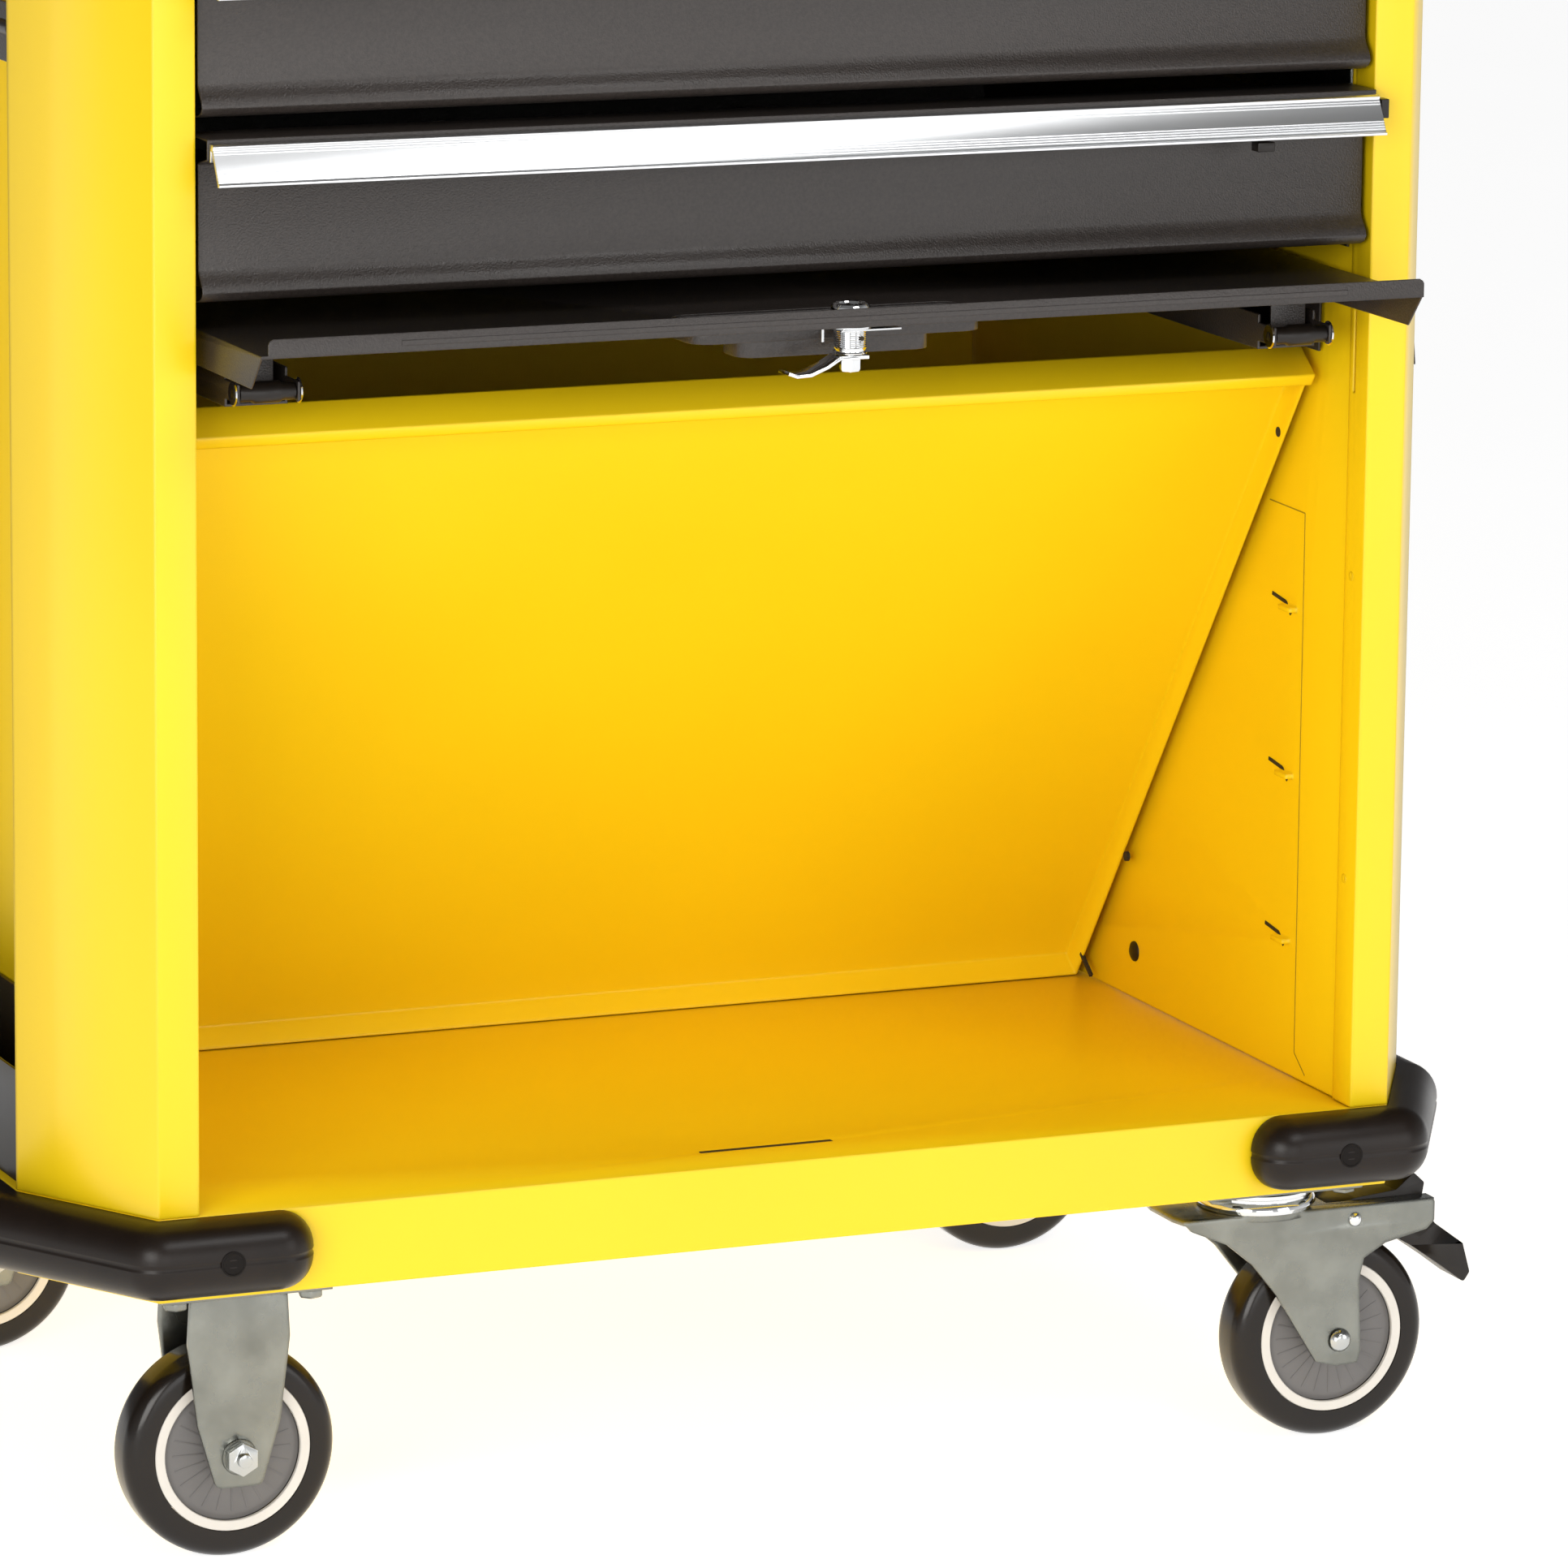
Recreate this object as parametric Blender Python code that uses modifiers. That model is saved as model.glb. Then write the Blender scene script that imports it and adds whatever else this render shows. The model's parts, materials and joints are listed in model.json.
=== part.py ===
"""Rolling tool box: steel trolley with drawers, a pocket door, a loose shelf and four castors.

Metres, +Z up, +X to the right of the front. Lengths are measured from the front face of the
body (Y = 0), its middle (X = 0) and the ground (Z = 0). The whole trolley hangs from one
empty, which puts the middle of its bounding box over the origin.
"""
import math

import bmesh
import bpy
from mathutils import Matrix, Vector

# ---- driving dimensions -------------------------------------------------------------------
SHEET = 0.0015            # body steel
THIN = 0.0010             # drawer and door steel
GAP = 0.0004              # clearance between touching pieces

BODY_DEPTH = 0.560
FRONT_HALF = 0.380        # half width of the flat front
BODY_HALF = 0.4325        # half width across the chamfers
CHAMFER_DEPTH = 0.091
OPENING_HALF = 0.356
RAIL_BOTTOM = 0.1625
FLOOR_TOP = 0.210
BODY_TOP = 1.018
FRAME_TOP = 1.046
WORKTOP_TOP = 1.068

DRAWER_COUNT = 3
DRAWER_PITCH = 0.101
DRAWER_BASE = 0.719       # lowest edge of the bottom drawer front
DRAWER_HALF = 0.3525
DRAWER_BOX_HALF = 0.339
DRAWER_BOX_DEPTH = 0.490

DOOR_TOP = 0.7034
DOOR_PROUD = 0.083        # how far the pushed-in door still stands out
DOOR_LENGTH = 0.498
DOOR_HALF = 0.348
DOOR_FLANGE = 0.0198
DOOR_LIP = 0.0092          # pull lip turned up along the front edge
LOCK_Y = 0.0125           # lock axis behind the door's front edge
ROLLER_Y = 0.006
ROLLER_Z = 0.6695
ROLLER_X = 0.3140

SHELF_HALF = 0.3515
SHELF_FOOT = (0.386, 0.2215)
SHELF_HEAD = (0.078, 0.651)
SHELF_FLANGE = 0.0190
SHELF_BROW = 0.0250        # the head's flange is deeper than the sides'

BUMPER_PROUD = 0.025
BUMPER_LOW = 0.1665
BUMPER_HIGH = 0.2100

WHEEL_RADIUS = 0.0625
WHEEL_WIDTH = 0.032
AXLE_DROP = RAIL_BOTTOM - WHEEL_RADIUS
CASTOR_INSET = 0.050      # wheel's mid plane behind the front, and before the back
FIXED_X = -0.325
SWIVEL_X = 0.3195
TRAIL = 0.045
FORK_INNER = 0.024        # half the space between the legs
FORK_STEEL = 0.003

CENTRE_Y = (BODY_DEPTH + BUMPER_PROUD - DOOR_PROUD) / 2
WELD = 0.00001
ROUND = 32                # segments round a wheel

FINISHES = {
    "yellow_steel": ((0.98, 0.72, 0.01, 1), 0.38, 0.0),
    "black_steel": ((0.045, 0.040, 0.038, 1), 0.42, 0.0),
    "aluminium": ((0.80, 0.80, 0.81, 1), 0.28, 1.0),
    "zinc": ((0.62, 0.64, 0.62, 1), 0.34, 1.0),
    "chrome": ((0.78, 0.79, 0.80, 1), 0.12, 1.0),
    "rubber": ((0.030, 0.026, 0.024, 1), 0.55, 0.0),
    "tread": ((0.022, 0.017, 0.013, 1), 0.22, 0.0),
    "wheel_core": ((0.20, 0.19, 0.185, 1), 0.55, 0.0),
    "black_plastic": ((0.028, 0.025, 0.023, 1), 0.45, 0.0),
}


# ---- scene helpers ------------------------------------------------------------------------
def clear_scene():
    """Start from an empty scene."""
    for item in list(bpy.data.objects):
        bpy.data.objects.remove(item, do_unlink=True)


def make_finish(name):
    """Make one material from its colour, roughness and metallic value."""
    colour, roughness, metallic = FINISHES[name]
    finish = bpy.data.materials.new(name)
    finish.use_nodes = True
    shader = finish.node_tree.nodes["Principled BSDF"]
    shader.inputs["Base Color"].default_value = colour
    shader.inputs["Roughness"].default_value = roughness
    shader.inputs["Metallic"].default_value = metallic
    finish.diffuse_color = colour
    return finish


clear_scene()
PARTS = bpy.data.collections.new("rolling_tool_box")
bpy.context.scene.collection.children.link(PARTS)
MATERIALS = {name: make_finish(name) for name in FINISHES}


def axis_empty(name, place, parent=None):
    """Make an empty that carries one moving body, placed on its joint's axis."""
    empty = bpy.data.objects.new(name, None)
    empty.empty_display_size = 0.02
    empty.location = place
    empty.parent = parent
    PARTS.objects.link(empty)
    return empty


def part(name, mesh, finish, parent):
    """Turn a finished mesh into a named piece of the trolley."""
    mesh.name = name
    mesh.materials.clear()
    mesh.materials.append(MATERIALS[finish])
    mesh.shade_smooth()
    mesh.set_sharp_from_angle(angle=math.radians(35))
    piece = bpy.data.objects.new(name, mesh)
    piece.parent = parent
    PARTS.objects.link(piece)
    return piece


# ---- mesh helpers -------------------------------------------------------------------------
def scratch(data):
    """Put data in the scene for as long as its modifiers are being read."""
    item = bpy.data.objects.new("scratch", data)
    PARTS.objects.link(item)
    return item


def settled(item):
    """Read an object with its modifiers applied, welded and facing out."""
    bpy.context.view_layer.update()
    graph = bpy.context.evaluated_depsgraph_get()
    mesh = bpy.data.meshes.new_from_object(item.evaluated_get(graph))
    mesh.transform(item.matrix_world)
    bpy.data.objects.remove(item, do_unlink=True)
    shape = bmesh.new()
    shape.from_mesh(mesh)
    bmesh.ops.remove_doubles(shape, verts=shape.verts, dist=WELD)
    bmesh.ops.recalc_face_normals(shape, faces=shape.faces)
    shape.to_mesh(mesh)
    shape.free()
    return mesh


def box(low, high):
    """Make a box from its lowest and highest corners."""
    shape = bmesh.new()
    bmesh.ops.create_cube(shape, size=1.0)
    size = Vector(high) - Vector(low)
    middle = (Vector(high) + Vector(low)) / 2
    bmesh.ops.scale(shape, vec=size, verts=shape.verts)
    bmesh.ops.translate(shape, vec=middle, verts=shape.verts)
    mesh = bpy.data.meshes.new("box")
    shape.to_mesh(mesh)
    shape.free()
    return mesh


def axis_matrix(axis):
    """Turn a shape drawn in the XY plane so that its normal lies along an axis."""
    return {
        "Z": Matrix.Identity(4),
        "Y": Matrix(((1, 0, 0, 0), (0, 0, 1, 0), (0, 1, 0, 0), (0, 0, 0, 1))),
        "X": Matrix(((0, 0, 1, 0), (1, 0, 0, 0), (0, 1, 0, 0), (0, 0, 0, 1))),
    }[axis]


def rod(axis, radius, start, end, centre=(0.0, 0.0), segments=20):
    """Make a round bar along an axis; the centre holds its two other coordinates."""
    shape = bmesh.new()
    bmesh.ops.create_cone(shape, cap_ends=True, segments=segments,
                          radius1=radius, radius2=radius, depth=end - start)
    middle = Vector((centre[0], centre[1], (start + end) / 2))
    bmesh.ops.translate(shape, vec=middle, verts=shape.verts)
    mesh = bpy.data.meshes.new("rod")
    shape.to_mesh(mesh)
    shape.free()
    turn = axis_matrix(axis)
    mesh.transform(turn)
    if turn.determinant() < 0:
        mesh.flip_normals()
    return mesh


def slab(axis, outline, start, end):
    """Extrude a flat outline along an axis, between two coordinates on it."""
    curve = bpy.data.curves.new("outline", "CURVE")
    curve.dimensions = "2D"
    curve.fill_mode = "BOTH"
    curve.extrude = (end - start) / 2
    line = curve.splines.new("POLY")
    line.points.add(len(outline) - 1)
    for point, (across, up) in zip(line.points, outline):
        point.co = (across, up, 0, 1)
    line.use_cyclic_u = True
    item = scratch(curve)
    item.matrix_world = axis_matrix(axis) @ Matrix.Translation((0, 0, (start + end) / 2))
    return settled(item)


def folded(axis, path, start, end, thickness, offset=0.0):
    """Fold a strip of sheet along a path and give it its thickness."""
    shape = bmesh.new()
    verts = [shape.verts.new((across, up, start)) for across, up in path]
    edges = [shape.edges.new(pair) for pair in zip(verts, verts[1:])]
    made = bmesh.ops.extrude_edge_only(shape, edges=edges)["geom"]
    moved = [item for item in made if isinstance(item, bmesh.types.BMVert)]
    bmesh.ops.translate(shape, vec=(0, 0, end - start), verts=moved)
    shape.transform(axis_matrix(axis))
    mesh = bpy.data.meshes.new("folded")
    shape.to_mesh(mesh)
    shape.free()
    item = scratch(mesh)
    sheet = item.modifiers.new("sheet", "SOLIDIFY")
    sheet.thickness = thickness
    sheet.offset = offset
    sheet.use_even_offset = True
    return settled(item)


def turned(axis, profile, centre=(0.0, 0.0, 0.0), segments=ROUND, closed=True):
    """Turn a profile of (radius, height) points round an axis with a Screw modifier."""
    shape = bmesh.new()
    verts = [shape.verts.new((radius, 0, height)) for radius, height in profile]
    pairs = list(zip(verts, verts[1:]))
    if closed:
        pairs.append((verts[-1], verts[0]))
    for pair in pairs:
        shape.edges.new(pair)
    mesh = bpy.data.meshes.new("turned")
    shape.to_mesh(mesh)
    shape.free()
    item = scratch(mesh)
    screw = item.modifiers.new("turn", "SCREW")
    screw.steps = segments
    screw.render_steps = segments
    screw.use_merge_vertices = True
    screw.merge_threshold = 0.0001
    item.matrix_world = Matrix.Translation(centre) @ axis_matrix(axis)
    return settled(item)


def combined(operation, first, *others):
    """Join, cut or intersect meshes, one after the other."""
    item = scratch(first)
    tools = [scratch(other) for other in others]
    for tool in tools:
        step = item.modifiers.new("step", "BOOLEAN")
        step.operation = operation
        step.solver = "EXACT"
        step.object = tool
    mesh = settled(item)
    for tool in tools:
        bpy.data.objects.remove(tool, do_unlink=True)
    return mesh


def joined(first, *others):
    """Weld pieces into one body."""
    return combined("UNION", first, *others)


def cut(first, *others):
    """Take cutters out of a body."""
    return combined("DIFFERENCE", first, *others)


def shifted(mesh, offset):
    """Move a mesh within its own frame."""
    mesh.transform(Matrix.Translation(offset))
    return mesh


def mirrored_x(mesh):
    """Mirror a mesh across X and keep it facing out."""
    mesh.transform(Matrix.Diagonal((-1, 1, 1, 1)))
    mesh.flip_normals()
    return mesh


def mirrored_y(mesh, middle):
    """Mirror a mesh front to back about a depth and keep it facing out."""
    mesh.transform(Matrix.Translation((0, 2 * middle, 0)) @ Matrix.Diagonal((1, -1, 1, 1)))
    mesh.flip_normals()
    return mesh


def offset_outline(points, distance):
    """Move every side of a closed anticlockwise outline inwards by a distance."""
    result = []
    count = len(points)
    for index in range(count):
        before, here, after = (Vector(points[(index + step) % count]) for step in (-1, 0, 1))
        one = (here - before).normalized()
        two = (after - here).normalized()
        normal_one = Vector((-one.y, one.x))
        normal_two = Vector((-two.y, two.x))
        mitre = (normal_one + normal_two).normalized()
        result.append(tuple(here + mitre * distance / mitre.dot(normal_one)))
    return result


def rounded_outline(points, radius, steps=3):
    """Round every corner of a closed outline with an arc made of a few short sides."""
    result = []
    count = len(points)
    for index in range(count):
        before, here, after = (Vector(points[(index + step) % count]) for step in (-1, 0, 1))
        back = (before - here).normalized()
        ahead = (after - here).normalized()
        half = back.angle(ahead) / 2
        reach = radius / math.tan(half)
        centre = here + (back + ahead).normalized() * radius / math.sin(half)
        start = here + back * reach - centre
        end = here + ahead * reach - centre
        sweep = start.angle_signed(end)
        for step in range(steps + 1):
            turn = Matrix.Rotation(-sweep * step / steps, 2)
            result.append(tuple(centre + turn @ start))
    return result


def body_outline():
    """Give the trolley's plan: a rectangle with its four corners chamfered."""
    back_chamfer = BODY_DEPTH - CHAMFER_DEPTH
    half = [(FRONT_HALF, 0), (BODY_HALF, CHAMFER_DEPTH),
            (BODY_HALF, back_chamfer), (FRONT_HALF, BODY_DEPTH)]
    return half + [(-x, y) for x, y in reversed(half)]


# ---- body ---------------------------------------------------------------------------------
def base_pan(root):
    """Floor pan with a deep skirt; the castors bolt to its returned underside."""
    outline = body_outline()
    shell = slab("Z", outline, RAIL_BOTTOM, FLOOR_TOP)
    inside = slab("Z", offset_outline(outline, SHEET), RAIL_BOTTOM + 2 * SHEET, FLOOR_TOP - SHEET)
    mouth = box((-0.235, 0.030, RAIL_BOTTOM - 0.01),
                (0.215, BODY_DEPTH - 0.030, RAIL_BOTTOM + 0.02))
    slot = box((-0.041, 0.0355, FLOOR_TOP - 0.01), (0.041, 0.0385, FLOOR_TOP + 0.01))
    part("base_pan", cut(shell, inside, mouth, slot), "yellow_steel", root)


def corner_posts(root):
    """Front corner posts: door jamb, front strip, chamfer and inward return."""
    path = [(OPENING_HALF + SHEET / 2, 0.024), (OPENING_HALF + SHEET / 2, SHEET / 2),
            (FRONT_HALF - 0.0004, SHEET / 2), (BODY_HALF - 0.0009, CHAMFER_DEPTH),
            (OPENING_HALF + 0.008, CHAMFER_DEPTH)]
    for side in ("left", "right"):
        mesh = folded("Z", path, FLOOR_TOP + GAP, BODY_TOP - GAP, SHEET)
        slot = box((OPENING_HALF - 0.01, 0.0165, 0.632), (OPENING_HALF + 0.01, 0.0185, 0.680))
        mesh = cut(mesh, slot)
        if side == "left":
            mesh = mirrored_x(mesh)
        part(f"post_front_{side}", mesh, "yellow_steel", root)


def rear_shell(root):
    """Back panel folded in one piece with the two rear corner posts."""
    back = BODY_DEPTH - SHEET / 2
    start = BODY_DEPTH - CHAMFER_DEPTH
    half = [(OPENING_HALF + 0.008, start), (BODY_HALF - 0.0009, start),
            (FRONT_HALF - 0.0004, back)]
    path = half + [(-x, y) for x, y in reversed(half)]
    mesh = folded("Z", path, FLOOR_TOP + GAP, BODY_TOP - GAP, SHEET)
    part("rear_shell", mesh, "yellow_steel", root)


def side_panels(root):
    """Inner side walls with three pressed shelf supports on each."""
    inner = OPENING_HALF + SHEET + GAP
    for side in ("left", "right"):
        sheet = box((inner, 0.006, FLOOR_TOP + GAP),
                    (inner + SHEET, BODY_DEPTH - SHEET - GAP, BODY_TOP - GAP))
        tongues = []
        for level in range(3):
            height = 0.290 + 0.100 * level
            for depth in (0.088, 0.438):
                tongues.append(box((inner - 0.0050, depth, height),
                                   (inner + SHEET / 2, depth + 0.0160, height + 0.0030)))
        mesh = joined(sheet, *tongues)
        if side == "left":
            mesh = mirrored_x(mesh)
        part(f"side_panel_{side}", mesh, "yellow_steel", root)


def top_frame(root):
    """Top cover with a short skirt that ties the posts together."""
    outline = body_outline()
    shell = slab("Z", outline, BODY_TOP, FRAME_TOP)
    inside = slab("Z", offset_outline(outline, SHEET), BODY_TOP + 2 * SHEET, FRAME_TOP - SHEET)
    mouth = box((-0.335, 0.030, BODY_TOP - 0.01), (0.335, BODY_DEPTH - 0.030, BODY_TOP + 0.01))
    part("top_frame", cut(shell, inside, mouth), "yellow_steel", root)


def worktop(root):
    """Moulded black worktop with a raised rim round a shallow tray."""
    outline = rounded_outline(offset_outline(body_outline(), -0.004), 0.012)
    slab_mesh = slab("Z", outline, FRAME_TOP + GAP, WORKTOP_TOP)
    tray = slab("Z", rounded_outline(offset_outline(body_outline(), 0.014), 0.012),
                WORKTOP_TOP - 0.012, WORKTOP_TOP + 0.01)
    part("worktop", cut(slab_mesh, tray), "black_plastic", root)


def bumper_outline():
    """Plan of the right front bumper: round ends, following front, chamfer and side."""
    front_end = FRONT_HALF - 0.083
    side_end = CHAMFER_DEPTH + 0.050
    gap = 0.0009
    chamfer = Vector((BODY_HALF - FRONT_HALF, CHAMFER_DEPTH)).normalized()
    normal = Vector((chamfer.y, -chamfer.x))
    inner = [(front_end, -gap), (FRONT_HALF + gap * 0.6, -gap),
             (BODY_HALF + gap, CHAMFER_DEPTH - gap * 0.3), (BODY_HALF + gap, side_end)]
    proud = BUMPER_PROUD
    corner_one = Vector((FRONT_HALF, 0)) + Vector((normal.x * 0.62, -0.92)) * proud
    corner_two = Vector((BODY_HALF, CHAMFER_DEPTH)) + Vector((0.96, -0.24)) * proud
    steps = 4
    side_arc = []
    for step in range(steps + 1):
        angle = math.radians(90 * step / steps)
        side_arc.append((BODY_HALF + proud - 0.022 * (1 - math.cos(angle)),
                         side_end - 0.016 + 0.022 * math.sin(angle)))
    front_arc = []
    for step in range(steps + 1):
        angle = math.radians(90 * step / steps)
        front_arc.append((front_end - 0.006 + 0.022 * (1 - math.sin(angle)),
                          -proud + 0.022 * (1 - math.cos(angle))))
    front_arc.reverse()
    outer = side_arc[::-1] + [tuple(corner_two), tuple(corner_one)] + front_arc[::-1]
    return inner + outer


def bumpers(root):
    """Four rubber corner bumpers round the base."""
    for end in ("front", "rear"):
        for side in ("left", "right"):
            mesh = slab("Z", bumper_outline(), BUMPER_LOW, BUMPER_HIGH)
            shape = bmesh.new()
            shape.from_mesh(mesh)
            rims = []
            for edge in shape.edges:
                one, two = (vert.co for vert in edge.verts)
                level = abs(one.z - two.z) < WELD
                outside = [is_outside(point) for point in (one, two)]
                if level and all(outside) and len(edge.link_faces) == 2:
                    if edge.calc_face_angle(0) > 1:
                        rims.append(edge)
            bmesh.ops.bevel(shape, geom=rims, offset=0.011, segments=2, affect="EDGES",
                            profile=0.5, clamp_overlap=True)
            bmesh.ops.remove_doubles(shape, verts=shape.verts, dist=WELD)
            bmesh.ops.recalc_face_normals(shape, faces=shape.faces)
            shape.to_mesh(mesh)
            shape.free()
            if side == "left":
                mesh = mirrored_x(mesh)
            if end == "rear":
                mesh = mirrored_y(mesh, BODY_DEPTH / 2)
            part(f"bumper_{end}_{side}", mesh, "rubber", root)


def is_outside(point):
    """Say whether a point of a bumper lies on its free side, away from the body."""
    margin = 0.003
    chamfer = Vector((BODY_HALF - FRONT_HALF, CHAMFER_DEPTH)).normalized()
    normal = Vector((chamfer.y, -chamfer.x))
    away = (Vector((point.x, point.y)) - Vector((FRONT_HALF, 0))).dot(normal)
    return point.y < -margin or point.x > BODY_HALF + margin or away > margin


def leaning_shelf(root):
    """Loose shelf parked in the compartment: foot on the floor, head leaning forward."""
    foot, head = Vector(SHELF_FOOT), Vector(SHELF_HEAD)
    along = head - foot
    length = along.length
    shell = box((-SHELF_HALF, 0, 0), (SHELF_HALF, length, SHELF_FLANGE))
    hollow = box((-SHELF_HALF + SHEET, SHEET, SHEET),
                 (SHELF_HALF - SHEET, length - SHEET, SHELF_FLANGE + 0.01))
    brow = box((-SHELF_HALF, length - SHEET, 0), (SHELF_HALF, length, SHELF_BROW))
    lip = box((-SHELF_HALF, length - 0.0085, SHELF_BROW - SHEET),
              (SHELF_HALF, length, SHELF_BROW))
    return_edge = box((-SHELF_HALF, length - 0.0085, SHELF_BROW - 0.011),
                      (SHELF_HALF, length - 0.0070, SHELF_BROW))
    mesh = joined(cut(shell, hollow), brow, lip, return_edge)
    up = Vector((0, along.x, along.y)) / length
    right = Vector((1, 0, 0))
    facing = right.cross(up)
    if facing.y > 0:
        facing = -facing
    turn = Matrix((right, up, facing)).transposed().to_4x4()
    mesh.transform(Matrix.Translation((0, foot.x, foot.y)) @ turn)
    if turn.determinant() < 0:
        mesh.flip_normals()
    part("leaning_shelf", mesh, "yellow_steel", root)


def slide_racks(root):
    """Fixed halves of the drawer slides: one comb-shaped rack on each side."""
    wall = OPENING_HALF + SHEET / 2
    tip = DRAWER_BOX_HALF + 0.0018
    ridge = 0.014
    path = [(wall, DRAWER_BASE - 0.004)]
    for level in range(DRAWER_COUNT):
        middle = DRAWER_BASE + level * DRAWER_PITCH + 0.045
        path += [(wall, middle - ridge), (tip, middle - ridge),
                 (tip, middle + ridge), (wall, middle + ridge)]
    path.append((wall, DRAWER_BASE + DRAWER_COUNT * DRAWER_PITCH - 0.006))
    for side in ("left", "right"):
        mesh = folded("Y", path, 0.030, 0.530, 0.0012)
        if side == "left":
            mesh = mirrored_x(mesh)
        part(f"slide_rack_{side}", mesh, "zinc", root)


# ---- drawers ------------------------------------------------------------------------------
def drawer_front_path():
    """Section of a drawer front in (Y, Z): top flange, panel, S-shaped flare and nose."""
    panel = 0.0070
    path = [(0.028, 0.0915), (-0.0085, 0.0915), (-0.0085, 0.081), (panel, 0.0775)]
    steps = 5
    for step in range(steps + 1):
        share = step / steps
        depth = panel - 0.0075 * (1 - math.cos(math.pi * share)) / 2
        path.append((depth, 0.020 - 0.013 * share))
    nose = 0.0055
    for step in range(1, 4):
        angle = math.radians(50 * step)
        path.append((-0.0005 + nose * (1 - math.cos(angle)), 0.007 - 0.0055 * math.sin(angle * 0.6)))
    path.append((0.016, 0.0008))
    return path


def drawer(root, level):
    """One drawer: open box, pressed front, aluminium grip strip and its catch."""
    name = f"drawer_{level + 1}"
    axis = axis_empty(f"{name}_axis", (0, 0, DRAWER_BASE + level * DRAWER_PITCH), root)
    half, back = DRAWER_BOX_HALF, 0.012 + DRAWER_BOX_DEPTH
    start = 0.0165
    shell = box((-half, start, 0.004), (half, back, 0.080))
    inside = box((-half + THIN, start + THIN, 0.004 + THIN), (half - THIN, back - THIN, 0.1))
    part(f"{name}_box", cut(shell, inside), "black_steel", axis)

    front = folded("X", drawer_front_path(), -DRAWER_HALF, DRAWER_HALF, THIN)
    part(f"{name}_front", front, "black_steel", axis)

    strip = [(-0.0262, 0.0680), (-0.0262, 0.0694), (-0.0246, 0.0700), (-0.0152, 0.0874),
             (-0.0158, 0.0888), (-0.0142, 0.0898), (-0.0095, 0.0898), (-0.0095, 0.0800),
             (-0.0118, 0.0800), (-0.0118, 0.0862), (-0.0138, 0.0856), (-0.0226, 0.0692),
             (-0.0234, 0.0680)]
    part(f"{name}_handle", slab("X", strip, -0.3515, 0.3515), "aluminium", axis)

    catch = box((0.2730, -0.0195, 0.0605), (0.2840, -0.0100, 0.0660))
    stem = box((0.2755, -0.0165, 0.0640), (0.2815, -0.0125, 0.0780))
    catch_axis = axis_empty(f"{name}_latch_axis", (0.2785, -0.015, 0.063), axis)
    latch = shifted(joined(catch, stem), (-0.2785, 0.015, -0.063))
    part(f"{name}_latch", latch, "black_plastic", catch_axis)


# ---- pocket door --------------------------------------------------------------------------
def pocket_door(root):
    """Door pushed flat into its pocket, with its finger cup, carriers and cam lock."""
    axis = axis_empty("door_axis", (0, -DOOR_PROUD, DOOR_TOP), root)
    low = -DOOR_FLANGE
    shell = box((-DOOR_HALF, 0, low), (DOOR_HALF, DOOR_LENGTH, DOOR_LIP))
    above = box((-0.4, THIN, 0), (0.4, DOOR_LENGTH + 0.01, 0.03))
    left_end = slab("Y", [(-0.36, 0.0003), (-0.3440, 0.0003), (-0.3440, 0.0062),
                          (-0.3431, 0.0082), (-0.3410, 0.0094), (-0.3410, 0.02),
                          (-0.36, 0.02)], -0.01, 0.005)
    right_end = slab("Y", [(0.3484, 0.0060), (0.36, 0.0060), (0.36, 0.02), (0.3450, 0.02),
                           (0.3450, 0.0094), (0.3471, 0.0081)], -0.01, 0.005)
    hollow = box((-DOOR_HALF + THIN, THIN, low - 0.01),
                 (DOOR_HALF - THIN, DOOR_LENGTH + 0.01, -THIN))
    slant = slab("X", [(-0.01, -0.0014), (0.0014, -0.0014), (0.0182, low - 0.001),
                       (0.0182, low - 0.01), (-0.01, low - 0.01)], -0.4, 0.4)
    cup_plan = rounded_outline([(-0.088, 0.026), (0.088, 0.026), (0.088, 0.068),
                                (-0.088, 0.068)], 0.012)
    cup_hole = slab("Z", cup_plan, -0.01, 0.01)
    lock_hole = rod("Z", 0.0100, -0.01, 0.01, (0, LOCK_Y))
    mesh = cut(shell, above, left_end, right_end, hollow, slant, cup_hole, lock_hole)
    part("door_panel", mesh, "black_steel", axis)

    well_plan = rounded_outline([(-0.058, 0.031), (0.058, 0.031), (0.058, 0.063),
                                 (-0.058, 0.063)], 0.010)
    cup_out = joined(slab("Z", offset_outline(cup_plan, GAP), -0.0110, -0.0006),
                     slab("Z", well_plan, -0.0204, -0.0100))
    cup_in = joined(slab("Z", offset_outline(cup_plan, 0.0022), -0.0098, 0.01),
                    slab("Z", offset_outline(well_plan, 0.0012), -0.0192, -0.0090))
    part("door_cup", cut(cup_out, cup_in), "black_steel", axis)

    carrier_low = 0.6645 - DOOR_TOP
    for side, sign in (("left", -1), ("right", 1)):
        x_low, x_high = sorted((sign * 0.3005, sign * 0.3275))
        block = box((x_low, DOOR_LENGTH - 0.030, carrier_low),
                    (x_high, DOOR_LENGTH - 0.002, -THIN - GAP))
        part(f"door_carrier_{side}", block, "black_plastic", axis)

    head = rod("Z", 0.0110, GAP, 0.0110, (0, LOCK_Y), 28)
    barrel = rod("Z", 0.0095, -0.0164, 0.0020, (0, LOCK_Y), 28)
    stud = rod("Z", 0.0030, -0.0330, -0.0154, (0, LOCK_Y), 12)
    part("lock_barrel", joined(head, barrel, stud), "chrome", axis)

    cam_axis = axis_empty("lock_cam_axis", (0, LOCK_Y, -0.0189), axis)
    path = [(0.0085, 0), (-0.0085, 0), (-0.016, -0.0045), (-0.026, -0.0085),
            (-0.034, -0.0090), (-0.0395, -0.0070)]
    blade = folded("Y", path, -0.0075, 0.0075, 0.0020)
    bore = rod("Z", 0.0034, -0.01, 0.01, (0, 0), 12)
    part("lock_cam", cut(blade, bore), "chrome", cam_axis)


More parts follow.
